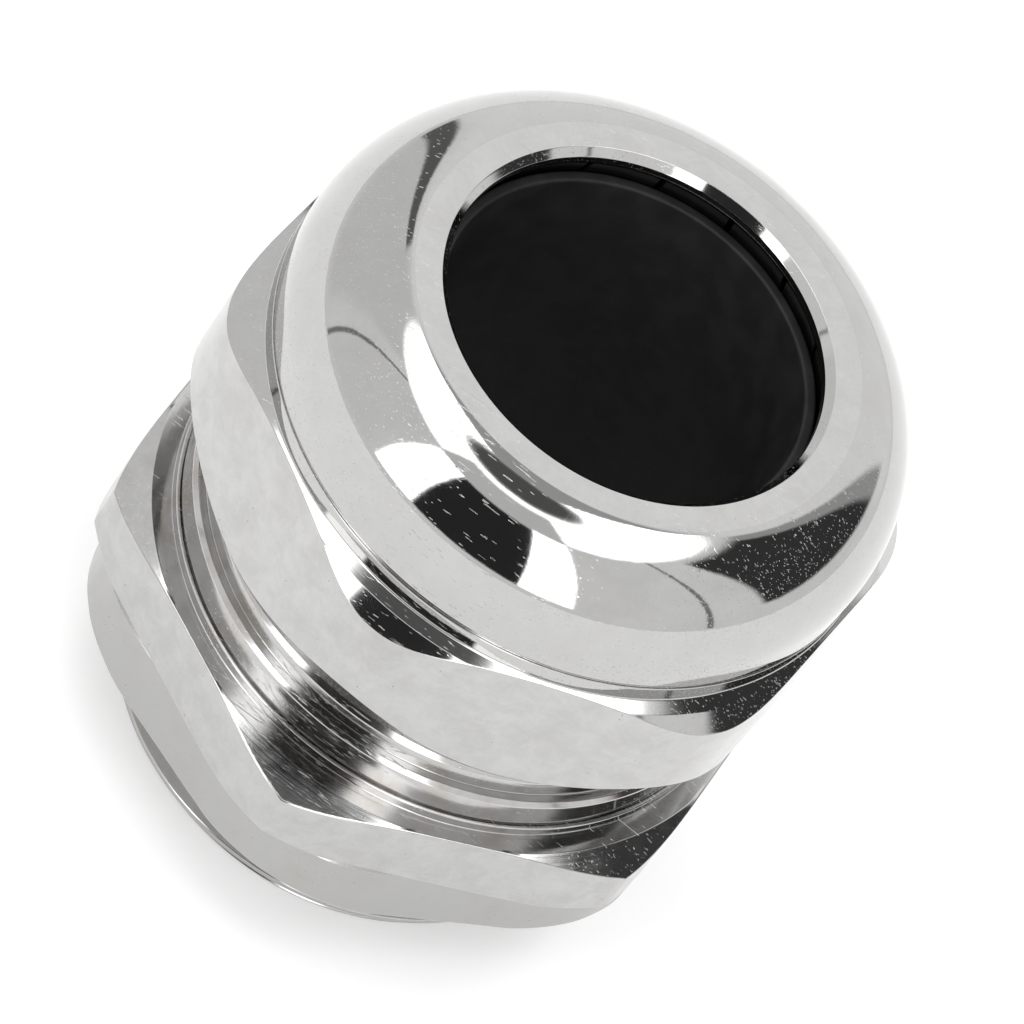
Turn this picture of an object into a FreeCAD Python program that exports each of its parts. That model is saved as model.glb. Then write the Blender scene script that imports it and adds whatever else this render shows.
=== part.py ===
import FreeCAD, Part
import os
from FreeCAD import Placement, Rotation, Vector
import Sketcher

# Metric cable gland with an M25 x 1.5 entry thread and main hexagons of 30 mm across flats.
# +Z runs along the cable, from the entry thread to the dome. The origin is the centre of
# the entry thread's end face. All lengths are in millimetres.

DIMENSIONS = {
    # hexagons: flats, and the radius that each one's corners are turned down to
    "across_flats": 30,
    "locknut_across_flats": 29.1,
    "body_bar_radius": 17,
    "nut_bar_radius": 16.3,
    "locknut_bar_radius": 15.7,
    "edge_break": 0.2,
    # threads
    "thread_pitch": 1.5,
    "thread_depth": 0.92,
    "thread_clearance": 0.08,
    "cutter_overlap": 0.05,
    "entry_thread_radius": 12.45,
    "cap_thread_radius": 13,
    "thread_lead_in": 0.7,
    # gland body, from the entry thread up
    "entry_bore_radius": 9.6,
    "seal_recess_radius": 14.3,
    "seal_recess_depth": 1.6,
    "panel_face": 8.7,
    "under_chamfer_radius": 15.9,
    "under_chamfer_angle": 30,
    "body_hex_top": 12.3,
    "body_chamfer_radius": 15.1,
    "body_chamfer_angle": 21,
    "ring_radius": 14.1,
    "ring_top": 12.8,
    "collar_groove_radius": 13.7,
    "collar_groove_top": 12.95,
    "collar_radius": 13.9,
    "collar_top": 14.5,
    "neck_radius": 13.3,
    "neck_top": 15.7,
    "cap_thread_start": 16.4,
    "seat_floor": 10.5,
    "seat_radius": 11,
    "body_top": 25,
    # locknut and flange O-ring
    "locknut_turned_by": 7.1,         # degrees about Z, against the body's hexagon
    "locknut_bottom": 5,
    "locknut_chamfer_radius": 15,
    "locknut_chamfer_angle": 39,
    "face_gap": 0.03,
    "o_ring_centre_radius": 13.35,
    "o_ring_section_radius": 0.75,
    # dome nut
    "nut_turned_by": -4.8,            # degrees about Z, against the body's hexagon
    "nut_bottom": 17.7,
    "nut_bottom_radius": 14.8,
    "nut_bottom_angle": 57,
    "dome_bottom": 25.4,
    "shoulder_angle": 22,
    "shoulder_break_radius": 15.45,
    "nut_top_angle": 38,
    "dome_radius": 14.8,
    "dome_groove_bottom": 26.25,
    "dome_groove_depth": 0.12,
    "dome_groove_width": 0.2,
    "dome_arc_radius": 5,
    "nut_top": 32.6,
    "facing_depth": 0.08,             # turned off the dome's crown to leave the flat rim
    "mouth_radius": 9.05,
    "mouth_chamfer": 0.35,
    "mouth_wall_bottom": 31.9,
    "cone_top_radius": 9.6,
    "cone_bottom_radius": 11.4,
    "cone_bottom": 27.6,
    "relief_radius": 13.25,
    "relief_bottom": 25.6,
    # clamping claw
    "claw_turned_by": -2.7,           # degrees about Z, a slot's middle against +X
    "finger_count": 16,
    "finger_slot_width": 0.3,
    "claw_bottom": 18.2,
    "claw_inner_radius": 10.35,
    "claw_sleeve_radius": 10.9,
    "claw_flange_radius": 12,
    "claw_flange_top": 25.8,
    "claw_shoulder_radius": 11.25,
    "claw_shoulder_height": 27.6,
    "claw_tip_height": 31.75,
    "claw_tip_outer_radius": 9.52,
    "claw_tip_inner_radius": 9.08,
    # seal insert
    "seal_bore_radius": 8.7,
    "seal_outer_radius": 10.25,
    "seal_shoulder_height": 27.4,
    "seal_lip_radius": 9.24,
    "seal_lip_height": 30.9,
    "seal_edge": 0.25,
}

# Expressions over the sheet's cells.
# A male groove is an eighth of the pitch wide at its root, with 60 degrees between its sides.
ROOT_HALF_WIDTH = "dim.thread_pitch/16"
CREST_HALF_WIDTH = "(dim.thread_pitch*7/16 - tan(30)*dim.thread_depth)"
FEMALE_THREAD_DEPTH = "dim.thread_pitch*0.5413"
CAP_BORE_RADIUS = f"(dim.cap_thread_radius - {FEMALE_THREAD_DEPTH} + dim.thread_clearance)"
LOCKNUT_BORE_RADIUS = f"(dim.entry_thread_radius - {FEMALE_THREAD_DEPTH} + dim.thread_clearance)"

doc = FreeCAD.newDocument("cable_gland")


def dimension_sheet():
    """The sheet that every size is bound to."""
    sheet = doc.addObject("Spreadsheet::Sheet", "dim")
    for row, (alias, value) in enumerate(DIMENSIONS.items(), start=1):
        sheet.set(f"A{row}", alias)
        sheet.set(f"B{row}", str(value))
        sheet.setAlias(f"B{row}", alias)
    doc.recompute()
    return sheet


def new_body(label):
    """An empty body whose label is also its file's name."""
    body = doc.addObject("PartDesign::Body", label)
    body.Label = label
    return body


def origin_feature(body, role):
    """A plane or axis of the body's own origin."""
    return next(feature for feature in body.Origin.OriginFeatures if feature.Role == role)


def upright_outline(body, name, corners):
    """A closed outline on the body's XZ plane, each corner (radius, height) an expression."""
    sketch = body.newObject("Sketcher::SketchObject", name)
    sketch.AttachmentSupport = [(origin_feature(body, "XZ_Plane"), "")]
    sketch.MapMode = "FlatFace"
    values = [[float(sketch.evalExpression(term)) for term in corner] for corner in corners]
    points = [Vector(radius, height, 0) for radius, height in values]
    for start, end in zip(points, points[1:] + points[:1]):
        sketch.addGeometry(Part.LineSegment(start, end), False)
    for index in range(len(corners)):
        following = (index + 1) % len(corners)
        sketch.addConstraint(Sketcher.Constraint("Coincident", index, 2, following, 1))
    for index, corner in enumerate(corners):
        for kind, term, value in zip(("DistanceX", "DistanceY"), corner, values[index]):
            number = sketch.addConstraint(Sketcher.Constraint(kind, -1, 1, index, 1, value))
            sketch.setExpression(f"Constraints[{number}]", term)
    return sketch


def turning(body, corners):
    """A body of revolution about Z."""
    feature = body.newObject("PartDesign::Revolution", body.Label + "_turning")
    feature.Profile = upright_outline(body, body.Label + "_outline", corners)
    feature.ReferenceAxis = (feature.Profile[0], ["V_Axis"])
    feature.Angle = 360
    doc.recompute()
    return feature


def polar_cut(body, name, corners, width, count):
    """Cut an upright outline right through the wall, repeated evenly about Z."""
    pocket = body.newObject("PartDesign::Pocket", name)
    pocket.Profile = upright_outline(body, name + "_outline", corners)
    pocket.SideType = "Symmetric"
    pocket.setExpression("Length", width)
    doc.recompute()
    pattern = body.newObject("PartDesign::PolarPattern", name + "_pattern")
    pattern.Originals = [pocket]
    pattern.Axis = (origin_feature(body, "Z_Axis"), [""])
    pattern.Angle = 360
    pattern.setExpression("Occurrences", count)
    body.Tip = pattern
    doc.recompute()
    return pattern


def cut_hexagon(body, across_flats, bar_radius, low, high):
    """Mill six flats between two heights of a bar."""
    inner = f"{across_flats}/2"
    outer = f"({bar_radius} + 1)"
    corners = [(inner, low), (outer, low), (outer, high), (inner, high)]
    return polar_cut(body, body.Label + "_flats", corners, f"2*{bar_radius}", "6")


def cut_helix(body, name, corners, length):
    """Cut a right-hand helical groove of the sheet's pitch."""
    helix = body.newObject("PartDesign::SubtractiveHelix", name)
    helix.Profile = upright_outline(body, name + "_outline", corners)
    helix.ReferenceAxis = (helix.Profile[0], ["V_Axis"])
    helix.Mode = "pitch-height-angle"
    helix.setExpression("Pitch", "dim.thread_pitch")
    helix.setExpression("Height", length)
    doc.recompute()
    return helix


def male_thread(body, name, radius, start, length):
    """Groove a shank of the given radius; start is the groove's middle height at +X."""
    root = f"({radius} - dim.thread_depth)"
    outside = f"({radius} + dim.cutter_overlap)"
    outside_half = f"({ROOT_HALF_WIDTH} + tan(30)*({outside} - {root}))"
    corners = [
        (root, f"{start} - {ROOT_HALF_WIDTH}"),
        (outside, f"{start} - {outside_half}"),
        (outside, f"{start} + {outside_half}"),
        (root, f"{start} + {ROOT_HALF_WIDTH}"),
    ]
    return cut_helix(body, name, corners, length)


def female_thread(body, name, radius, bore, start, length):
    """Groove a bore to take a male thread of the given radius, with the sheet's clearance."""
    floor = f"({radius} + dim.thread_clearance)"
    inside = f"({bore} - dim.cutter_overlap)"
    floor_half = f"({CREST_HALF_WIDTH} + dim.thread_clearance*(1 - tan(30)))"
    inside_half = f"({floor_half} + tan(30)*({floor} - {inside}))"
    corners = [
        (inside, f"{start} - {inside_half}"),
        (floor, f"{start} - {floor_half}"),
        (floor, f"{start} + {floor_half}"),
        (inside, f"{start} + {inside_half}"),
    ]
    return cut_helix(body, name, corners, length)


def circle_edge(feature, radius, height):
    """The name of the circular edge about Z with this radius at this height."""
    for number, edge in enumerate(feature.Shape.Edges, start=1):
        box = edge.BoundBox
        if abs(box.XMax - radius) < 1e-3 and abs(box.XMin + radius) < 1e-3:
            if abs(box.ZMin - height) < 1e-3 and abs(box.ZMax - height) < 1e-3:
                return f"Edge{number}"
    raise ValueError(f"{feature.Label} has no circle of radius {radius} at height {height}")


def round_circle(body, name, base, radius, height, size):
    """Round one circular edge of a turned feature."""
    fillet = body.newObject("PartDesign::Fillet", name)
    fillet.Base = (base, [circle_edge(base, radius, height)])
    fillet.setExpression("Radius", size)
    doc.recompute()


def chamfer_rise(bar_radius, chamfer_radius, angle):
    """How far up the bar a corner chamfer reaches from its circle on the end face."""
    return f"tan({angle})*({bar_radius} - {chamfer_radius})"


def turned_by(body, angle):
    """Turn a finished body about Z."""
    body.Placement = Placement(Vector(), Rotation(Vector(0, 0, 1), angle))


def make_gland_body():
    """Turned body: entry thread, hexagon with the seal recess below, neck, cap thread, bore."""
    body = new_body("gland_body")
    bar = "dim.body_bar_radius"
    recess_top = "dim.panel_face + dim.seal_recess_depth"
    under_rise = chamfer_rise(bar, "dim.under_chamfer_radius", "dim.under_chamfer_angle")
    upper_rise = chamfer_rise(bar, "dim.body_chamfer_radius", "dim.body_chamfer_angle")
    turning(body, [
        ("dim.entry_bore_radius + dim.edge_break", "0"),
        ("dim.entry_thread_radius - dim.thread_lead_in", "0"),
        ("dim.entry_thread_radius", "dim.thread_lead_in"),
        ("dim.entry_thread_radius", recess_top),
        ("dim.seal_recess_radius", recess_top),
        ("dim.seal_recess_radius", "dim.panel_face"),
        ("dim.under_chamfer_radius", "dim.panel_face"),
        (bar, f"dim.panel_face + {under_rise}"),
        (bar, f"dim.body_hex_top - {upper_rise}"),
        ("dim.body_chamfer_radius", "dim.body_hex_top"),
        ("dim.ring_radius", "dim.body_hex_top"),
        ("dim.ring_radius", "dim.ring_top"),
        ("dim.collar_groove_radius", "dim.ring_top"),
        ("dim.collar_groove_radius", "dim.collar_groove_top"),
        ("dim.collar_radius", "dim.collar_groove_top"),
        ("dim.collar_radius", "dim.collar_top - dim.edge_break"),
        ("dim.collar_radius - dim.edge_break", "dim.collar_top"),
        ("dim.neck_radius", "dim.collar_top"),
        ("dim.neck_radius", "dim.neck_top - (dim.neck_radius - dim.cap_thread_radius)"),
        ("dim.cap_thread_radius", "dim.neck_top"),
        ("dim.cap_thread_radius", "dim.body_top - dim.thread_lead_in"),
        ("dim.cap_thread_radius - dim.thread_lead_in", "dim.body_top"),
        ("dim.seat_radius + dim.edge_break", "dim.body_top"),
        ("dim.seat_radius", "dim.body_top - dim.edge_break"),
        ("dim.seat_radius", "dim.seat_floor"),
        ("dim.entry_bore_radius", "dim.seat_floor"),
        ("dim.entry_bore_radius", "dim.edge_break"),
    ])
    cut_hexagon(body, "dim.across_flats", bar,
                "dim.panel_face - 0.5", "dim.body_hex_top + 0.5")
    male_thread(body, "entry_thread", "dim.entry_thread_radius",
                "(0 - dim.thread_pitch)", "dim.panel_face + 1.5*dim.thread_pitch")
    male_thread(body, "cap_thread", "dim.cap_thread_radius",
                "dim.cap_thread_start", "dim.body_top - dim.cap_thread_start + dim.thread_pitch")
    return body


def make_locknut(sheet):
    """Hexagon nut on the entry thread, hard against the body's hexagon."""
    body = new_body("locknut")
    bar = "dim.locknut_bar_radius"
    top = "(dim.panel_face - dim.face_gap)"
    countersink = f"({LOCKNUT_BORE_RADIUS} + dim.thread_depth)"
    rise = chamfer_rise(bar, "dim.locknut_chamfer_radius", "dim.locknut_chamfer_angle")
    turning(body, [
        (LOCKNUT_BORE_RADIUS, "dim.locknut_bottom + dim.thread_depth"),
        (countersink, "dim.locknut_bottom"),
        ("dim.locknut_chamfer_radius", "dim.locknut_bottom"),
        (bar, f"dim.locknut_bottom + {rise}"),
        (bar, f"{top} - dim.edge_break"),
        (f"{bar} - dim.edge_break", top),
        (countersink, top),
        (LOCKNUT_BORE_RADIUS, f"{top} - dim.thread_depth"),
    ])
    cut_hexagon(body, "dim.locknut_across_flats", bar,
                "dim.locknut_bottom - 0.5", "dim.panel_face + 0.5")
    # Its ridges follow the entry thread's, whose grooves pass +X at whole pitches.
    start = "(dim.thread_pitch*(2.5 + dim.locknut_turned_by/360))"
    female_thread(body, "locknut_thread", "dim.entry_thread_radius", LOCKNUT_BORE_RADIUS,
                  start, "4*dim.thread_pitch")
    turned_by(body, sheet.locknut_turned_by)
    return body


def face_dome(body):
    """Face the dome's crown to leave the narrow flat rim round the mouth."""
    groove = body.newObject("PartDesign::Groove", "rim_facing")
    above = "(dim.nut_top + 1)"
    inner = "(dim.mouth_radius - 1)"
    outer = "(dim.dome_radius + 1)"
    corners = [(inner, "dim.nut_top"), (outer, "dim.nut_top"), (outer, above), (inner, above)]
    groove.Profile = upright_outline(body, "rim_facing_outline", corners)
    groove.ReferenceAxis = (groove.Profile[0], ["V_Axis"])
    groove.Angle = 360
    doc.recompute()


def make_dome_nut(sheet):
    """Cap with a hexagon, a domed end, the claw's cone inside and a female thread."""
    body = new_body("dome_nut")
    bar = "dim.nut_bar_radius"
    countersink = f"({CAP_BORE_RADIUS} + dim.thread_depth)"
    crown = "(dim.nut_top + dim.facing_depth)"
    bottom_rise = chamfer_rise(bar, "dim.nut_bottom_radius", "dim.nut_bottom_angle")
    shoulder_rise = chamfer_rise("dim.shoulder_break_radius", "dim.dome_radius",
                                 "dim.shoulder_angle")
    top_rise = chamfer_rise(bar, "dim.shoulder_break_radius", "dim.nut_top_angle")
    groove_radius = "dim.dome_radius - dim.dome_groove_depth"
    blank = turning(body, [
        (CAP_BORE_RADIUS, "dim.nut_bottom + dim.thread_depth"),
        (countersink, "dim.nut_bottom"),
        ("dim.nut_bottom_radius - dim.edge_break", "dim.nut_bottom"),
        ("dim.nut_bottom_radius", "dim.nut_bottom + dim.edge_break/2"),
        (bar, f"dim.nut_bottom + dim.edge_break/2 + {bottom_rise}"),
        (bar, f"dim.dome_bottom - {shoulder_rise} - {top_rise}"),
        ("dim.shoulder_break_radius", f"dim.dome_bottom - {shoulder_rise}"),
        ("dim.dome_radius", "dim.dome_bottom"),
        ("dim.dome_radius", "dim.dome_groove_bottom"),
        (groove_radius, "dim.dome_groove_bottom"),
        (groove_radius, "dim.dome_groove_bottom + dim.dome_groove_width"),
        ("dim.dome_radius", "dim.dome_groove_bottom + dim.dome_groove_width"),
        ("dim.dome_radius", crown),
        ("dim.mouth_radius + dim.mouth_chamfer + dim.facing_depth", crown),
        ("dim.mouth_radius", "dim.nut_top - dim.mouth_chamfer"),
        ("dim.mouth_radius", "dim.mouth_wall_bottom"),
        ("dim.cone_top_radius", "dim.mouth_wall_bottom"),
        ("dim.cone_bottom_radius", "dim.cone_bottom"),
        ("dim.relief_radius", "dim.cone_bottom"),
        ("dim.relief_radius", "dim.relief_bottom"),
        (CAP_BORE_RADIUS, f"dim.relief_bottom - (dim.relief_radius - {CAP_BORE_RADIUS})"),
    ])
    round_circle(body, "dome", blank, sheet.dome_radius, sheet.nut_top + sheet.facing_depth,
                 "dim.dome_arc_radius")
    face_dome(body)
    cut_hexagon(body, "dim.across_flats", bar, "dim.nut_bottom - 0.5", "dim.dome_bottom")
    # Its ridges sit half a pitch off the male ones; the nut's own turn shifts them along too.
    start = "(dim.cap_thread_start - dim.thread_pitch*(0.5 - dim.nut_turned_by/360))"
    female_thread(body, "nut_thread", "dim.cap_thread_radius", CAP_BORE_RADIUS,
                  start, "dim.cone_bottom - 1 - dim.cap_thread_start + 0.5*dim.thread_pitch")
    turned_by(body, sheet.nut_turned_by)
    return body


def make_clamping_claw(sheet):
    """Sleeve with a flange that rests on the body's rim, and fingers leaning into the nut."""
    body = new_body("clamping_claw")
    turning(body, [
        ("dim.claw_inner_radius", "dim.claw_bottom"),
        ("dim.claw_sleeve_radius", "dim.claw_bottom"),
        ("dim.claw_sleeve_radius", "dim.body_top"),
        ("dim.claw_flange_radius", "dim.body_top"),
        ("dim.claw_flange_radius", "dim.claw_flange_top"),
        ("dim.claw_shoulder_radius", "dim.claw_flange_top"),
        ("dim.claw_shoulder_radius", "dim.claw_shoulder_height"),
        ("dim.claw_tip_outer_radius", "dim.claw_tip_height"),
        ("dim.claw_tip_inner_radius", "dim.claw_tip_height"),
        ("dim.claw_inner_radius", "dim.claw_shoulder_height"),
    ])
    inner = "(dim.claw_tip_inner_radius - 1)"
    outer = "(dim.claw_shoulder_radius + 0.5)"
    low = "dim.claw_flange_top"
    high = "(dim.claw_tip_height + 0.5)"
    corners = [(inner, low), (outer, low), (outer, high), (inner, high)]
    polar_cut(body, "finger_slot", corners, "dim.finger_slot_width", "dim.finger_count")
    turned_by(body, sheet.claw_turned_by)
    return body


def make_seal_insert():
    """Rubber sleeve inside the claw; its lip follows the leaning fingers."""
    body = new_body("seal_insert")
    turning(body, [
        ("dim.seal_bore_radius + dim.seal_edge", "dim.seat_floor"),
        ("dim.seal_outer_radius - dim.seal_edge", "dim.seat_floor"),
        ("dim.seal_outer_radius", "dim.seat_floor + dim.seal_edge"),
        ("dim.seal_outer_radius", "dim.seal_shoulder_height"),
        ("dim.seal_lip_radius", "dim.seal_lip_height"),
        ("dim.seal_bore_radius", "dim.seal_lip_height"),
        ("dim.seal_bore_radius", "dim.seat_floor + dim.seal_edge"),
    ])
    return body


def make_flange_o_ring(sheet):
    """Loose O-ring round the entry thread, in the recess under the body's hexagon."""
    ring = doc.addObject("Part::Torus", "flange_o_ring")
    ring.Label = "flange_o_ring"
    ring.setExpression("Radius1", "dim.o_ring_centre_radius")
    ring.setExpression("Radius2", "dim.o_ring_section_radius")
    height = sheet.panel_face + sheet.face_gap + sheet.o_ring_section_radius
    ring.Placement = Placement(Vector(0, 0, height), Rotation())
    doc.recompute()
    return ring


def check_and_write(pieces):
    """Stop on any failed object or bad shape, then write one STEP file per piece."""
    doc.recompute()
    failed = [item.Label for item in doc.Objects if {"Invalid", "Error"} & set(item.State)]
    if failed:
        raise RuntimeError("failed objects: " + ", ".join(failed))
    for piece in pieces:
        if piece.Shape.isNull() or not piece.Shape.isValid():
            raise RuntimeError("bad shape: " + piece.Label)
        print(f"{piece.Label}: {len(piece.Shape.Solids)} solid, {piece.Shape.Volume:.1f} mm3")
    os.makedirs("parts", exist_ok=True)
    for piece in pieces:
        piece.Shape.exportStep(f"parts/{piece.Label}.step")


dimensions = dimension_sheet()
check_and_write([
    make_gland_body(),
    make_locknut(dimensions),
    make_flange_o_ring(dimensions),
    make_dome_nut(dimensions),
    make_clamping_claw(dimensions),
    make_seal_insert(),
])
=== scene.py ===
import math

import bmesh
import bpy
import numpy as np
from mathutils import Matrix, Vector


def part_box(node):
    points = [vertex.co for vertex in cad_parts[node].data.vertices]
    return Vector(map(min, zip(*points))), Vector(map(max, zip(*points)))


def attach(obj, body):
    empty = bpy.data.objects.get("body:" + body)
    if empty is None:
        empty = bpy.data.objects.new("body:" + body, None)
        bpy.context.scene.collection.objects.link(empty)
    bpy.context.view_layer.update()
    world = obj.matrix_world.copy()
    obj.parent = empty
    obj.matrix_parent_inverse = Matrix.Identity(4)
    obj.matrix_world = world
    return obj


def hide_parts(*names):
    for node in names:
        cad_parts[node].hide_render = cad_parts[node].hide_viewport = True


# A nickel-plated cable gland. Section lengths are in millimetres, in the frame of the packed
# part: +Z along the cable, origin at the centre of the entry thread's end face.

MM = 0.001
TURN = 2 * math.pi

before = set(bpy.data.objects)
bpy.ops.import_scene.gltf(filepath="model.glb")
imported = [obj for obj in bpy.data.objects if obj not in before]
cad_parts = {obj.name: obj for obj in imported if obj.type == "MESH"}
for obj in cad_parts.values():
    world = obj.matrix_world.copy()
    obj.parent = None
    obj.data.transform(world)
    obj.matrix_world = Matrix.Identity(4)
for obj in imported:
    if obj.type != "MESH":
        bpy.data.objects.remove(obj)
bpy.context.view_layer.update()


def heights(node):
    """Lowest and highest point of a CAD node, in millimetres."""
    low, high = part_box(node)
    return low.z / MM, high.z / MM


# ---------------------------------------------------------------- driving dimensions

BODY_TOP = heights("gland_body")[1]
LOCKNUT_LOW, LOCKNUT_TOP = heights("locknut")
NUT_LOW, NUT_TOP = heights("dome_nut")
O_RING_LOW = heights("flange_o_ring")[0]
SEAL_LOW, SEAL_TOP = heights("seal_insert")

ACROSS_FLATS = 30
LOCKNUT_FLATS = 29.1
BODY_BAR = 17
NUT_BAR = 16.3
LOCKNUT_BAR = 15.7
NUT_TURNED = math.radians(-4.8)
LOCKNUT_TURNED = math.radians(7.1)

PITCH = 1.5
THREAD_DEPTH = 0.92
THREAD_OVERLAP = PITCH * 0.5413      # 5/8 of the height of the thread's sharp triangle
THREAD_CLEARANCE = 0.08
ROOT_HALF = PITCH / 16
CREST_HALF = PITCH * 7 / 16 - math.tan(math.pi / 6) * THREAD_DEPTH
ENTRY_RADIUS = 12.45
CAP_RADIUS = 13
CAP_START = 16.4
LEAD_IN = 0.7
THREAD_END = 0.02             # how far inside an end face the grooves are worked out

PANEL_FACE = 8.7
RECESS_RADIUS = 14.3
RECESS_TOP = PANEL_FACE + 1.6
HEX_TOP = 12.3
UNDER_CHAMFER = (15.9, 30)    # land radius and degrees
UPPER_CHAMFER = (15.1, 21)
LOCKNUT_CHAMFER = (15, 39)
RING_RADIUS = 14.1
RING_TOP = 12.8
COLLAR_GROOVE_RADIUS = 13.7
COLLAR_GROOVE_TOP = 12.95
COLLAR_RADIUS = 13.9
COLLAR_TOP = 14.5
NECK_RADIUS = 13.3
NECK_TOP = 15.7
CAP_THREAD_LOW = 16.1
SEAT_RADIUS = 11
ENTRY_BORE = 9.6
BREAK = 0.2                   # small chamfer on a turned edge

SHOULDER_TOP = NUT_LOW + 7.7
SHOULDER_BREAK = 15.45        # where the nut's corner chamfer meets its shallower shoulder
SHOULDER_SLOPE = math.tan(math.radians(22))
CORNER_SLOPE = math.tan(math.radians(38))
LOW_SLOPE = math.tan(math.radians(57))
GROOVE_LOW = NUT_LOW + 8.55
GROOVE_TOP = GROOVE_LOW + 0.2
GROOVE_DEPTH = 0.12
DOME_RADIUS = 14.8
DOME_ARC = 5
FACING = 0.08
MOUTH_RADIUS = 9.05
MOUTH_CHAMFER = 0.35
CONE_TOP, CONE_TOP_RADIUS = 31.9, 9.6
CONE_LOW, CONE_LOW_RADIUS = 27.6, 11.4
RELIEF_LOW, RELIEF_RADIUS = 25.6, 13.25

EDGE = 0.1                    # rounding of a machined edge under its plating
FINE = 0.05                   # the same on small steps
GROOVE_CORNERS = 4            # corners of one thread groove in a section
COLUMN_COUNT = 300            # radial cuts through each turning
COLUMNS = np.arange(COLUMN_COUNT) / COLUMN_COUNT * TURN


# ---------------------------------------------------------------- lofted turnings

def smooth_min(a, b, blend):
    """The smaller of two, rounded where they cross."""
    near = np.clip(blend - abs(a - b), 0, None)
    return np.minimum(a, b) - near**2 / (4 * blend)


def hexagon_reach(turned, flats, bar, blend):
    """Radius at every column of a hexagon with corners turned down to the bar's radius."""
    off = (COLUMNS - turned + math.pi / 6) % (math.pi / 3) - math.pi / 6
    return smooth_min(flats / 2 / np.cos(off), bar, blend)


class Section:
    """A closed section at every column: corners joined by runs, each run with a finish."""

    def __init__(self):
        self.corners = []
        self.helices = []     # (first corner, corner past the last, whether it rises)

    def to(self, radius, height, finish, rounding=EDGE, steps=4):
        """A run of this finish up to a corner. Sizes may differ from column to column."""
        flat = np.zeros(len(COLUMNS))
        self.corners.append((radius + flat, height + flat, finish, rounding, steps))

    def arc(self, centre, radius, start, end, finish, count):
        """A true arc between two angles in radians, which may differ from column to column."""
        for angle in np.linspace(start, end, count):
            across, up = radius * np.cos(angle), radius * np.sin(angle)
            self.to(centre[0] + across, centre[1] + up, finish, 0, 1)

    def thread(self, crest, root, start, low, high, finish, widths, fade=0.3, rising=True):
        """Helical grooves between two heights. crest gives the land's radius at a height."""
        turns = COLUMNS / TURN
        count = math.ceil((high - low) / PITCH) + 3
        first = math.floor((low - start) / PITCH) - 1
        outer, inner = widths
        corners = []
        for groove in range(first, first + count):
            centre = start + PITCH * (groove + turns)
            for offset in (-outer, -inner, inner, outer):
                height = np.clip(centre + offset, low, high)
                land = crest(height)
                fading = np.minimum(height - low, high - height) / fade
                share = np.clip(fading, 0, 1) if abs(offset) == inner else 0
                corners.append((land + (root - land) * share, height))
        begin, end = (low, high) if rising else (high, low)
        self.to(crest(begin), begin, finish, 0, 1)
        opening = len(self.corners)
        for radius, height in corners if rising else corners[::-1]:
            self.to(radius, height, finish, 0.05, 2)
        self.helices.append((opening, len(self.corners), rising))
        self.to(crest(end), end, finish, 0, 1)


def rounded_rows(section):
    """Every row of points round the axis, with the row's finish and the corner it serves."""
    points = np.stack([np.stack(corner[:2], axis=-1) for corner in section.corners], axis=1)
    count = points.shape[1]
    before = np.roll(points, 1, axis=1) - points
    after = np.roll(points, -1, axis=1) - points
    reach_back = np.linalg.norm(before, axis=2)
    reach_on = np.linalg.norm(after, axis=2)
    back = before / np.maximum(reach_back, 1e-9)[..., None]
    on = after / np.maximum(reach_on, 1e-9)[..., None]
    cosine = np.clip((back * on).sum(axis=2), -1, 1)
    half = np.arccos(cosine) / 2
    rows, finishes, owners = [], [], []

    def corner_rows(index):
        rounding, steps = section.corners[index][3:]
        here = points[:, index]
        if rounding == 0:
            return [here]
        wanted = rounding / np.tan(np.maximum(half[:, index], 1e-3))
        room = 0.45 * np.minimum(reach_back[:, index], reach_on[:, index])
        setback = np.minimum(wanted, room)[:, None]
        start = here + back[:, index] * setback
        end = here + on[:, index] * setback
        made = []
        for share in np.linspace(0, 1, steps + 1):
            towards = (1 - share) ** 2 * start + 2 * share * (1 - share) * here
            made.append(towards + share**2 * end)
        return made

    arcs = [corner_rows(index) for index in range(count)]
    for index in range(count):
        finish, rounding = section.corners[index][2:4]
        start, end = arcs[index - 1][-1], arcs[index][0]
        length = np.linalg.norm(end - start, axis=1)
        if rounding or section.corners[index - 1][3]:
            inset = np.minimum(0.04, 0.2 * length) / np.maximum(length, 1e-9)
            shares = [inset, 1 - inset]
            rows += [start + (end - start) * share[:, None] for share in shares]
        rows += arcs[index]
        finishes += [finish] * (len(rows) - len(finishes))
        owners += [index] * (len(rows) - len(owners))
    return rows, finishes, owners


def seam_pairs(section, owners):
    """Rows that meet where the last column joins the first: a thread is one groove on there."""
    pairs, done = [], 0
    for opening, closing, rising in section.helices:
        low, high = owners.index(opening), owners.index(closing)
        lead = owners.index(opening + GROOVE_CORNERS) - low
        pairs += [(row, row) for row in range(done, low)]
        joined = [(low - 1, low + row) for row in range(lead)]
        joined += [(row, row + lead) for row in range(low, high - lead)]
        joined += [(row, high - 1) for row in range(high - lead, high)]
        pairs += joined if rising else [(right, left) for left, right in joined]
        done = high
    return pairs + [(row, row) for row in range(done, len(owners))]


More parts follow.
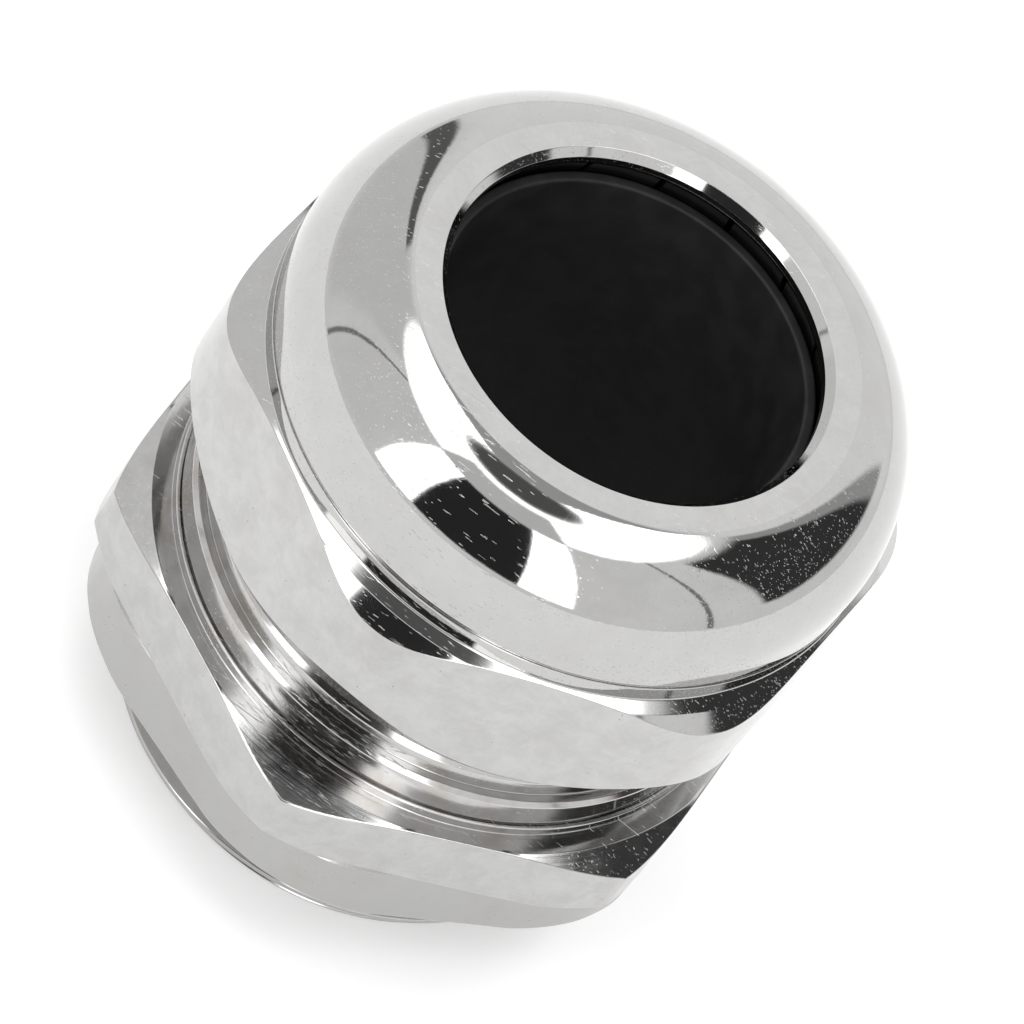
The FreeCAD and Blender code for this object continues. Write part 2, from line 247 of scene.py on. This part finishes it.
def loft(name, section, materials):
    """A closed mesh through the section's columns, in the row frame."""
    rows, finishes, owners = rounded_rows(section)
    grid = np.stack(rows, axis=1)
    angle = COLUMNS[:, None]
    radius, height = grid[..., 0], grid[..., 1]
    verts = np.stack([radius * np.cos(angle), radius * np.sin(angle), height], axis=-1) * MM
    columns, count = radius.shape
    column, row = np.meshgrid(np.arange(columns - 1), np.arange(count), indexing="ij")
    here, above = column * count + row, column * count + (row + 1) % count
    quads = np.stack([here, here + count, above + count, above], axis=-1)
    faces = quads.reshape(-1, 4).tolist()
    # a face between two rows has the upper row's finish
    finished = [finishes[(index + 1) % count] for index in range(count)] * (columns - 1)
    pairs = seam_pairs(section, owners)
    last = (columns - 1) * count
    for (left, right), (next_left, next_right) in zip(pairs, pairs[1:] + pairs[:1]):
        ring = (last + left, right, next_right, last + next_left)
        faces.append(list(dict.fromkeys(ring)))
        finished.append(finishes[next_left])
    mesh = bpy.data.meshes.new(name)
    mesh.from_pydata(verts.reshape(-1, 3).tolist(), [], faces)
    names = sorted(set(finishes))
    for finish in names:
        mesh.materials.append(materials[finish])
    slots = [names.index(finish) for finish in finished]
    mesh.polygons.foreach_set("material_index", slots)
    mesh.polygons.foreach_set("use_smooth", np.ones(len(mesh.polygons), bool))
    return tidy_mesh(name, mesh)


def tidy_mesh(name, mesh):
    """Merge collapsed corners, face every normal outwards, and make the object."""
    work = bmesh.new()
    work.from_mesh(mesh)
    bmesh.ops.remove_doubles(work, verts=work.verts, dist=2e-7)
    bmesh.ops.recalc_face_normals(work, faces=work.faces)
    work.to_mesh(mesh)
    work.free()
    mesh.update()
    piece = bpy.data.objects.new(name, mesh)
    bpy.context.scene.collection.objects.link(piece)
    return piece


# ---------------------------------------------------------------- materials

class Nodes:
    """Short names for building a node tree."""

    def __init__(self, tree):
        self.tree = tree
        self.tree.nodes.clear()

    def add(self, kind, inputs=None, **settings):
        node = self.tree.nodes.new(kind)
        for key, value in settings.items():
            setattr(node, key, value)
        for key, value in (inputs or {}).items():
            self.feed(node.inputs[key], value)
        return node

    def feed(self, socket, value):
        if isinstance(value, bpy.types.NodeSocket):
            self.tree.links.new(value, socket)
        else:
            socket.default_value = value

    def math(self, operation, *values, clamp=False):
        node = self.add("ShaderNodeMath", operation=operation, use_clamp=clamp)
        for socket, value in zip(node.inputs, values):
            self.feed(socket, value)
        return node.outputs[0]

    def ramp(self, value, low, high, to_low=0.0, to_high=1.0):
        node = self.add("ShaderNodeMapRange", {"Value": value, "From Min": low, "From Max": high,
                                               "To Min": to_low, "To Max": to_high},
                        interpolation_type="SMOOTHSTEP")
        return node.outputs[0]

    def noise(self, vector, scale, detail=2.0, rough=0.5, distortion=0.0):
        node = self.add("ShaderNodeTexNoise", {"Vector": vector, "Scale": scale, "Detail": detail,
                                               "Roughness": rough, "Distortion": distortion})
        return node.outputs["Fac"]

    def scaled(self, vector, factors, turn=(0, 0, 0)):
        node = self.add("ShaderNodeMapping", {"Vector": vector, "Rotation": turn,
                                              "Scale": factors})
        return node.outputs["Vector"]

    def mix(self, factor, first, second):
        node = self.add("ShaderNodeMix", data_type="RGBA")
        self.feed(node.inputs[0], factor)
        self.feed(node.inputs[6], first)
        self.feed(node.inputs[7], second)
        return node.outputs[2]

    def bump(self, height, distance, strength=1.0, normal=None):
        node = self.add("ShaderNodeBump", {"Height": height, "Distance": distance,
                                           "Strength": strength})
        if normal is not None:
            self.feed(node.inputs["Normal"], normal)
        return node.outputs["Normal"]


def new_material(name):
    material = bpy.data.materials.new(name)
    material.use_nodes = True
    return material, Nodes(material.node_tree)


def millimetres(nodes):
    """The piece's own coordinates in millimetres."""
    coordinates = nodes.add("ShaderNodeTexCoord").outputs["Object"]
    return nodes.scaled(coordinates, (1 / MM,) * 3)


def around_axis(nodes, point):
    """(distance from the axis, height) as one vector, constant along every turning mark."""
    parts = nodes.add("ShaderNodeSeparateXYZ", {"Vector": point}).outputs
    squares = [nodes.math("MULTIPLY", parts[axis], parts[axis]) for axis in (0, 1)]
    radius = nodes.math("SQRT", nodes.math("ADD", *squares))
    return nodes.add("ShaderNodeCombineXYZ", {"X": radius, "Z": parts[2]}).outputs[0]


def scratches(nodes, point, turn, stretch, fineness, share):
    """Thin straight streaks in one direction, only here and there."""
    lined = nodes.scaled(point, (stretch, fineness, fineness), turn)
    streak = nodes.ramp(nodes.noise(lined, 1.0, 1.0), 0.72 - share, 0.76 - share)
    where = nodes.ramp(nodes.noise(nodes.scaled(point, (0.16,) * 3, turn), 1.0, 1.0), 0.5, 0.62)
    return nodes.math("MULTIPLY", streak, where)


NICKEL = (0.495, 0.493, 0.488, 1)
CLEAN_NICKEL = (0.508, 0.506, 0.5, 1)
MILLED_NICKEL = (0.486, 0.484, 0.479, 1)
POLISHED_NICKEL = (0.468, 0.466, 0.461, 1)
# darker copy of the milled nickel: painted shade, standing for the shadowed floor that the
# locknut's flats reflect
SHADED_NICKEL = (0.405, 0.402, 0.395, 1)
WORN_NICKEL = (0.4, 0.398, 0.393, 1)
AGED_NICKEL = (0.36, 0.31, 0.255, 1)
PITTED = (0.2, 0.19, 0.175, 1)

# turn and stretch of each set of scratches
STROKES = (((1.1, -0.4, 2.3), 1.0), ((0.2, 1.3, -0.7), 0.8), ((-0.9, 0.6, 1.2), 1.4))


def nickel(name, turning=0.0, ring_scale=9.0, cloud=0.0, scratch=0.0, roughness=0.08,
           roughness_spread=0.06, aged=0.1, grain=0.0, pitted=0.0, mottled=0.0, base=NICKEL):
    """Nickel plate: turning rings, milled clouds, scratches, pits and a little ageing."""
    material, nodes = new_material(name)
    point = millimetres(nodes)
    rings = nodes.noise(nodes.scaled(around_axis(nodes, point), (ring_scale,) * 3), 1.0, 3.0, 0.65)
    clouds = nodes.noise(point, 0.9, 4.0, 0.6, 0.6)
    fine = nodes.noise(point, 14.0, 3.0, 0.6)
    marks = scratches(nodes, point, (0.3, 0.5, 0.9), 0.3, 8.0, 0.02)
    for turn, stretch in STROKES:
        nick = scratches(nodes, point, turn, stretch, 12.0, 0.02)
        marks = nodes.math("MAXIMUM", marks, nick)
    cells = nodes.add("ShaderNodeTexVoronoi", {"Vector": point, "Scale": 2.1})
    dot = nodes.ramp(cells.outputs["Distance"], 0.05, 0.1, 1.0, 0.0)
    chosen = nodes.ramp(nodes.noise(cells.outputs["Position"], 3.7, 0.0), 0.56, 0.6)
    ragged = nodes.ramp(nodes.noise(point, 6.0, 3.0), 0.4, 0.55)
    pits = nodes.math("MULTIPLY", nodes.math("MULTIPLY", dot, chosen), ragged)

    stain = nodes.ramp(nodes.noise(point, 0.35, 5.0, 0.7), 0.45, 0.75, 0.0, aged)
    cloudy = nodes.ramp(nodes.noise(point, 0.7, 9.0, 0.78, 0.3), 0.34, 0.66, 0.0, mottled)
    colour = nodes.mix(stain, nodes.mix(cloudy, base, WORN_NICKEL), AGED_NICKEL)
    colour = nodes.mix(nodes.math("MULTIPLY", pits, pitted), colour, PITTED)
    dulled = nodes.math("MULTIPLY_ADD", clouds, roughness_spread * 2, roughness - roughness_spread)
    dulled = nodes.math("MULTIPLY_ADD", marks, 0.18 * scratch, dulled)
    dulled = nodes.math("MULTIPLY_ADD", pits, 0.25 * pitted, dulled, clamp=True)

    normal = nodes.bump(rings, turning * MM, 1.0)
    normal = nodes.bump(clouds, cloud * MM, 1.0, normal)
    normal = nodes.bump(fine, grain * MM, 1.0, normal)
    normal = nodes.bump(marks, -0.006 * scratch * MM, 1.0, normal)
    normal = nodes.bump(pits, -0.012 * pitted * MM, 1.0, normal)
    shader = nodes.add("ShaderNodeBsdfPrincipled", {"Base Color": colour, "Metallic": 1.0,
                                                    "Roughness": dulled, "Normal": normal})
    nodes.add("ShaderNodeOutputMaterial", {"Surface": shader.outputs[0]})
    return material


def polymer(name, colour, worn, roughness, coat, grain, gloss=0.5):
    """Moulded plastic or rubber: fine skin grain, slight colour change and light dust."""
    material, nodes = new_material(name)
    point = millimetres(nodes)
    skin = nodes.noise(point, 9.0, 4.0, 0.6)
    patches = nodes.noise(point, 0.7, 3.0, 0.55)
    dust = nodes.ramp(nodes.noise(point, 5.5, 2.0, 0.5), 0.7, 0.78)
    tone = nodes.mix(nodes.ramp(patches, 0.35, 0.7), colour, worn)
    tone = nodes.mix(nodes.math("MULTIPLY", dust, 0.25), tone, (0.1, 0.1, 0.1, 1))
    dulled = nodes.math("MULTIPLY_ADD", patches, 0.12, roughness - 0.06)
    shader = nodes.add("ShaderNodeBsdfPrincipled",
                       {"Base Color": tone, "Roughness": dulled, "IOR": 1.5,
                        "Specular IOR Level": gloss,
                        "Coat Weight": coat, "Coat Roughness": 0.08,
                        "Normal": nodes.bump(skin, grain * MM)})
    nodes.add("ShaderNodeOutputMaterial", {"Surface": shader.outputs[0]})
    return material


def make_materials():
    return {
        "milled": nickel("nickel_milled_flat", cloud=0.014, roughness=0.17, pitted=0.7,
                         roughness_spread=0.08, aged=0.1, grain=0.0022, scratch=0.4,
                         mottled=0.7, base=MILLED_NICKEL),
        # the locknut's flats: rougher milling, and a darker base colour that is painted shade
        "dull_milled": nickel("nickel_dull_shaded_flat", cloud=0.014, roughness=0.24, pitted=0.5,
                              roughness_spread=0.08, aged=0.2, grain=0.0025, scratch=0.4,
                              mottled=0.6, base=SHADED_NICKEL),
        "turned": nickel("nickel_turned", turning=0.001, ring_scale=5.0, roughness=0.12,
                         roughness_spread=0.05, aged=0.5, scratch=1.2, mottled=0.2),
        "chamfer": nickel("nickel_chamfer", turning=0.004, ring_scale=7.0, roughness=0.12,
                          roughness_spread=0.08, aged=0.15, scratch=0.6, grain=0.001,
                          mottled=0.4, base=CLEAN_NICKEL),
        "shoulder": nickel("nickel_shoulder", turning=0.0008, ring_scale=7.0, roughness=0.07,
                           roughness_spread=0.04, aged=0.06, scratch=1.0, mottled=0.2),
        "dome": nickel("nickel_polished", turning=0.0003, ring_scale=5.0, cloud=0.002,
                       roughness=0.045, roughness_spread=0.03, aged=0.04, scratch=1.3,
                       mottled=0.3, base=POLISHED_NICKEL),
        "rim": nickel("nickel_faced_rim", turning=0.001, ring_scale=12.0, cloud=0.004,
                      roughness=0.14, aged=0.06, grain=0.0015, scratch=0.5, pitted=0.3,
                      mottled=0.35, base=CLEAN_NICKEL),
        "thread": nickel("nickel_thread", turning=0.003, ring_scale=14.0, roughness=0.14,
                         aged=0.35, grain=0.001),
        "bore": nickel("nickel_bore", turning=0.004, ring_scale=8.0, roughness=0.2, aged=0.3),
        "seal": polymer("black_seal_rubber", (0.012, 0.012, 0.012, 1), (0.02, 0.02, 0.02, 1),
                        0.55, 0.0, 0.002, 0.25),
        "nylon": polymer("black_nylon", (0.006, 0.006, 0.007, 1), (0.01, 0.01, 0.01, 1),
                         0.1, 0.8, 0.0006),
    }


# ---------------------------------------------------------------- pieces

def land_then_chamfer(reach, land, slope, height, side):
    """Where an end face meets its chamfer, and where the chamfer meets the side."""
    start = np.minimum(land, reach - 2 * EDGE)
    fall = math.tan(math.radians(slope)) * np.clip(reach - land, 0, None)
    return (start, height), (reach, height + side * fall)


MALE_WIDTHS = (ROOT_HALF + math.tan(math.pi / 6) * THREAD_DEPTH, ROOT_HALF)


def female_widths(depth):
    floor_half = CREST_HALF + THREAD_CLEARANCE * (1 - math.tan(math.pi / 6))
    return floor_half + math.tan(math.pi / 6) * depth, floor_half


def along(*corners):
    """The radius of a turned outline at a height, from (height, radius) corners."""
    at, radii = zip(*corners)
    return lambda height: np.interp(height, at, radii)


def make_body(materials):
    reach = hexagon_reach(0, ACROSS_FLATS, BODY_BAR, 1.8)
    under_land, under_edge = land_then_chamfer(reach, *UNDER_CHAMFER, PANEL_FACE, 1)
    top_land, top_edge = land_then_chamfer(reach, *UPPER_CHAMFER, HEX_TOP, -1)
    s = Section()
    s.to(ENTRY_BORE + BREAK, 0, "bore")
    s.to(ENTRY_RADIUS - LEAD_IN, 0, "turned")
    entry = along((0, ENTRY_RADIUS - LEAD_IN), (LEAD_IN, ENTRY_RADIUS))
    s.thread(entry, ENTRY_RADIUS - THREAD_DEPTH, 0, THREAD_END,
             RECESS_TOP - THREAD_END, "thread", MALE_WIDTHS)
    s.to(ENTRY_RADIUS, RECESS_TOP, "thread")
    s.to(RECESS_RADIUS, RECESS_TOP, "turned")
    s.to(RECESS_RADIUS, PANEL_FACE, "turned")
    s.to(*under_land, "turned")
    s.to(*under_edge, "chamfer")
    s.to(*top_edge, "milled")
    s.to(*top_land, "chamfer")
    s.to(RING_RADIUS, HEX_TOP, "turned", FINE)
    s.to(RING_RADIUS, RING_TOP, "turned")
    s.to(COLLAR_GROOVE_RADIUS, RING_TOP, "turned", FINE)
    s.to(COLLAR_GROOVE_RADIUS, COLLAR_GROOVE_TOP, "turned", FINE)
    s.to(COLLAR_RADIUS, COLLAR_GROOVE_TOP, "turned", FINE)
    s.to(COLLAR_RADIUS, COLLAR_TOP - BREAK, "turned")
    s.to(COLLAR_RADIUS - BREAK, COLLAR_TOP, "turned", FINE)
    s.to(NECK_RADIUS, COLLAR_TOP, "turned", FINE)
    s.to(NECK_RADIUS, NECK_TOP - (NECK_RADIUS - CAP_RADIUS), "turned")
    s.to(CAP_RADIUS, NECK_TOP, "turned")
    cap = along((BODY_TOP - LEAD_IN, CAP_RADIUS), (BODY_TOP, CAP_RADIUS - LEAD_IN))
    s.thread(cap, CAP_RADIUS - THREAD_DEPTH, CAP_START, CAP_THREAD_LOW,
             BODY_TOP - THREAD_END, "thread", MALE_WIDTHS)
    s.to(CAP_RADIUS - LEAD_IN, BODY_TOP, "thread")
    s.to(SEAT_RADIUS + BREAK, BODY_TOP, "turned")
    s.to(SEAT_RADIUS, BODY_TOP - BREAK, "bore")
    s.to(SEAT_RADIUS, SEAL_LOW, "bore")
    s.to(ENTRY_BORE, SEAL_LOW, "bore")
    s.to(ENTRY_BORE, BREAK, "bore")
    piece = loft("body_nickel", s, materials)
    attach(piece, "gland_body")
    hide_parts("gland_body")
    return piece


def make_locknut(materials):
    reach = hexagon_reach(LOCKNUT_TURNED, LOCKNUT_FLATS, LOCKNUT_BAR, 0.8)
    bore = ENTRY_RADIUS - THREAD_OVERLAP + THREAD_CLEARANCE
    sink = bore + THREAD_DEPTH
    land, edge = land_then_chamfer(reach, *LOCKNUT_CHAMFER, LOCKNUT_LOW, 1)
    s = Section()
    s.to(sink, LOCKNUT_LOW, "thread")
    s.to(*land, "turned")
    s.to(*edge, "chamfer")
    # the locknut's flats, painted darker as shade
    s.to(reach, LOCKNUT_TOP - BREAK, "dull_milled", 0.06)
    s.to(reach - BREAK, LOCKNUT_TOP, "dull_milled", 0.06)
    s.to(sink, LOCKNUT_TOP, "turned")
    land_radius = along((LOCKNUT_LOW, sink), (LOCKNUT_LOW + THREAD_DEPTH, bore),
                        (LOCKNUT_TOP - THREAD_DEPTH, bore), (LOCKNUT_TOP, sink))
    floor = ENTRY_RADIUS + THREAD_CLEARANCE
    s.thread(land_radius, floor, PITCH / 2, LOCKNUT_LOW + THREAD_END,
             LOCKNUT_TOP - THREAD_END, "thread", female_widths(floor - bore), rising=False)
    piece = loft("locknut_nickel", s, materials)
    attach(piece, "locknut")
    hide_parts("locknut")
    return piece


def make_dome_nut(materials):
    reach = hexagon_reach(NUT_TURNED, ACROSS_FLATS, NUT_BAR, 0.9)
    bore = CAP_RADIUS - THREAD_OVERLAP + THREAD_CLEARANCE
    sink = bore + THREAD_DEPTH
    shoulder_end = np.minimum(SHOULDER_BREAK, reach - 0.02)
    shoulder_low = SHOULDER_TOP - SHOULDER_SLOPE * (shoulder_end - DOME_RADIUS)
    dome_centre = (DOME_RADIUS - DOME_ARC, NUT_TOP + FACING - DOME_ARC)
    crown = math.asin((DOME_ARC - FACING) / DOME_ARC)
    s = Section()
    s.to(sink, NUT_LOW, "thread")
    s.to(DOME_RADIUS - BREAK, NUT_LOW, "turned")
    s.to(DOME_RADIUS, NUT_LOW + BREAK / 2, "chamfer", FINE)
    s.to(reach, NUT_LOW + BREAK / 2 + LOW_SLOPE * (reach - DOME_RADIUS), "chamfer")
    s.to(reach, shoulder_low - CORNER_SLOPE * (reach - shoulder_end), "milled", 0.06)
    s.to(shoulder_end, shoulder_low, "shoulder", 0.12)
    s.to(DOME_RADIUS, SHOULDER_TOP, "shoulder", 0.08)
    s.to(DOME_RADIUS, GROOVE_LOW, "dome", FINE)
    s.to(DOME_RADIUS - GROOVE_DEPTH, GROOVE_LOW, "turned", 0.04)
    s.to(DOME_RADIUS - GROOVE_DEPTH, GROOVE_TOP, "turned", 0.04)
    s.to(DOME_RADIUS, GROOVE_TOP, "turned", FINE)
    s.arc(dome_centre, DOME_ARC, 0, crown, "dome", 40)
    s.to(MOUTH_RADIUS + MOUTH_CHAMFER, NUT_TOP, "rim", 0.04)
    s.to(MOUTH_RADIUS, NUT_TOP - MOUTH_CHAMFER, "shoulder", 0.06)
    s.to(MOUTH_RADIUS, CONE_TOP, "turned", 0.04)
    s.to(CONE_TOP_RADIUS, CONE_TOP, "bore", 0.04)
    s.to(CONE_LOW_RADIUS, CONE_LOW, "bore")
    s.to(RELIEF_RADIUS, CONE_LOW, "bore")
    s.to(RELIEF_RADIUS, RELIEF_LOW, "bore")
    relief_end = RELIEF_LOW - (RELIEF_RADIUS - bore)
    s.to(bore, relief_end, "bore")
    land_radius = along((NUT_LOW, sink), (NUT_LOW + THREAD_DEPTH, bore))
    floor = CAP_RADIUS + THREAD_CLEARANCE
    s.thread(land_radius, floor, CAP_START - PITCH / 2, NUT_LOW + THREAD_END,
             relief_end - THREAD_END, "thread", female_widths(floor - bore), rising=False)
    piece = loft("dome_nut_nickel", s, materials)
    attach(piece, "dome_nut")
    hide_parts("dome_nut")
    return piece


def make_seal(materials):
    s = Section()
    bore, outer, lip, taper = 8.7, 10.25, 9.24, 3.5
    s.to(bore, SEAL_LOW, "seal", 0.25)
    s.to(outer, SEAL_LOW, "seal", 0.25)
    s.to(outer, SEAL_TOP - taper, "seal", 0.4)
    s.to(lip, SEAL_TOP, "seal", 0.15)
    s.to(bore, SEAL_TOP, "seal", 0.15)
    piece = loft("seal_rubber", s, materials)
    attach(piece, "clamp")
    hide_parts("seal_insert")
    return piece


def make_o_ring(materials):
    low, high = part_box("flange_o_ring")
    section = (high.z - low.z) / 2 / MM
    ring = high.x / MM - section
    s = Section()
    steps = 28
    last = TURN * (steps - 1) / steps
    s.arc((ring, O_RING_LOW + section), section, 0, last, "seal", steps)
    piece = loft("o_ring_rubber", s, materials)
    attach(piece, "o_ring")
    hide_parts("flange_o_ring")
    return piece


def dress_claw(materials):
    """The claw's own CAD mesh, in black nylon."""
    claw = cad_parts["clamping_claw"]
    claw.data.materials.clear()
    claw.data.materials.append(materials["nylon"])


# ---------------------------------------------------------------- studio

FLOOR_LEVEL = 1.0             # what a camera ray past the floor sees, a plain white
FLOOR_DROP = 0.05             # the floor lies this far below the thread's end face
FLOOR_GLOW = 0.25             # the pale base is lit a little from below
LIGHT = 1.15                  # strength of the whole tent


def make_floor():
    bpy.ops.mesh.primitive_circle_add(vertices=96, radius=2.5, fill_type="NGON",
                                      location=(0, 0, -FLOOR_DROP * MM))
    floor = bpy.context.object
    floor.name = "floor"
    material, nodes = new_material("pale_floor")
    grain = nodes.noise(nodes.add("ShaderNodeTexCoord").outputs["Object"], 40.0, 3.0)
    colour = nodes.mix(grain, (0.8, 0.8, 0.8, 1), (0.83, 0.83, 0.83, 1))
    shader = nodes.add("ShaderNodeBsdfPrincipled",
                       {"Base Color": colour, "Roughness": 0.9, "Specular IOR Level": 0.1,
                        "Emission Color": (1, 1, 1, 1), "Emission Strength": FLOOR_GLOW})
    nodes.add("ShaderNodeOutputMaterial", {"Surface": shader.outputs[0]})
    floor.data.materials.append(material)


class Sky(Nodes):
    """The light tent, as brightness by direction."""

    def __init__(self, tree):
        super().__init__(tree)
        self.direction = self.add("ShaderNodeTexCoord").outputs["Generated"]
        height = self.add("ShaderNodeSeparateXYZ", {"Vector": self.direction}).outputs[2]
        self.elevation = self.math("MULTIPLY", self.math("ARCSINE", height), 180 / math.pi)

    def panel(self, below, azimuth, half_width, low, high, level, soft=1.2):
        """Cover a patch of the tent, in degrees, over what is below."""
        turned = self.scaled(self.direction, (1, 1, 1), (0, 0, -math.radians(azimuth)))
        parts = self.add("ShaderNodeSeparateXYZ", {"Vector": turned}).outputs
        away = self.math("ABSOLUTE", self.math("ARCTAN2", parts[1], parts[0]))
        edge = math.radians(half_width)
        across = self.ramp(away, edge - math.radians(soft), edge + math.radians(soft), 1.0, 0.0)
        return self.over(below, across, low, high, level, soft)

    def over(self, below, across, low, high, level, soft):
        above_low = self.ramp(self.elevation, low - soft, low + soft)
        below_high = self.ramp(self.elevation, high - soft, high + soft, 1.0, 0.0)
        inside = self.math("MULTIPLY", above_low, below_high)
        share = self.math("MULTIPLY", inside, across)
        node = self.add("ShaderNodeMix", data_type="FLOAT")
        for socket, value in zip((0, 2, 3), (share, below, level)):
            self.feed(node.inputs[socket], value)
        return node.outputs[0]


def make_tent():
    world = bpy.data.worlds.new("light_tent")
    world.use_nodes = True
    bpy.context.scene.world = world
    sky = Sky(world.node_tree)
    uneven = sky.ramp(sky.noise(sky.direction, 3.0, 3.0), 0.3, 0.7, 0.92, 0.98)
    level = sky.panel(uneven, -27, 27, 2, 62, 0.82, 5)       # shaded wall
    level = sky.panel(level, 28, 17, 2, 62, 0.88, 4)         # wall beside the window
    level = sky.panel(level, -97, 37, 2, 60, 1.06, 5)        # wall behind the gland
    for azimuth in (10, 167):
        level = sky.panel(level, azimuth, 0.9, 1, 60, 0.25, 0.4)      # seams of the tent
    level = sky.over(level, 1.0, 61, 79, 3.4, 1.5)           # overhead light
    level = sky.over(level, 1.0, 80, 95, 0.12, 2)            # dark ceiling
    level = sky.panel(level, -90, 28, 60, 81, 0.5, 2)        # the light's gap behind the gland
    level = sky.panel(level, 87, 38, 59, 76, 0.75, 2)        # its gap above the camera
    level = sky.panel(level, 87.5, 20, 4, 59.5, 0.03)        # the camera's opening
    level = sky.panel(level, 211, 23, 10, 58, 0.45, 1.5)     # margin of the second opening
    level = sky.panel(level, 205.5, 21, 11, 57, 0.05, 1.5)   # second opening
    level = sky.panel(level, -54, 3.5, 3, 50, 0.15, 1)       # narrow opening
    for azimuth in (58.5, 116):
        level = sky.panel(level, azimuth, 8.7, 4, 60, 3.2, 0.8)   # the two windows
    level = sky.math("MULTIPLY", level, LIGHT)
    seen = sky.add("ShaderNodeLightPath").outputs["Is Camera Ray"]
    plain = sky.add("ShaderNodeMix", data_type="FLOAT")
    for socket, value in zip((0, 2, 3), (seen, level, FLOOR_LEVEL)):
        sky.feed(plain.inputs[socket], value)
    back = sky.add("ShaderNodeBackground", {"Color": (1, 1, 1, 1), "Strength": plain.outputs[0]})
    sky.add("ShaderNodeOutputWorld", {"Surface": back.outputs[0]})


CAMERA_ANGLES = (90.58, 49.02, 36.63)     # azimuth, elevation and roll, in degrees
CAMERA_DISTANCE = 349.55
CAMERA_LENS = 271.1
AIM_HEIGHT, AIM_RIGHT, AIM_UP = 16.0, 0.895, 0.54


def make_camera():
    """The camera stands high on the +Y side, rolled so that the gland leans to the right."""
    azimuth, elevation, roll = (math.radians(angle) for angle in CAMERA_ANGLES)
    aim = Vector((0, 0, AIM_HEIGHT)) * MM
    out = Vector((math.cos(elevation) * math.cos(azimuth),
                  math.cos(elevation) * math.sin(azimuth), math.sin(elevation)))
    level_right = (-out).cross(Vector((0, 0, 1))).normalized()
    level_up = level_right.cross(-out)
    right = math.cos(roll) * level_right + math.sin(roll) * level_up
    up = math.cos(roll) * level_up - math.sin(roll) * level_right
    place = aim + out * CAMERA_DISTANCE * MM
    look = (aim + right * AIM_RIGHT * MM + up * AIM_UP * MM - place).normalized()
    side = look.cross(up).normalized()
    camera = bpy.data.objects.new("camera", bpy.data.cameras.new("camera"))
    axes = Matrix((side, side.cross(look), -look)).transposed()
    camera.matrix_world = Matrix.Translation(place) @ axes.to_4x4()
    camera.data.sensor_width = 36
    camera.data.lens = CAMERA_LENS
    camera.data.clip_start, camera.data.clip_end = 0.01, 20
    bpy.context.scene.collection.objects.link(camera)
    bpy.context.scene.camera = camera


finishes = make_materials()
make_body(finishes)
make_locknut(finishes)
make_dome_nut(finishes)
make_seal(finishes)
make_o_ring(finishes)
dress_claw(finishes)
make_floor()
make_tent()
make_camera()
bpy.context.scene.view_settings.view_transform = "Standard"
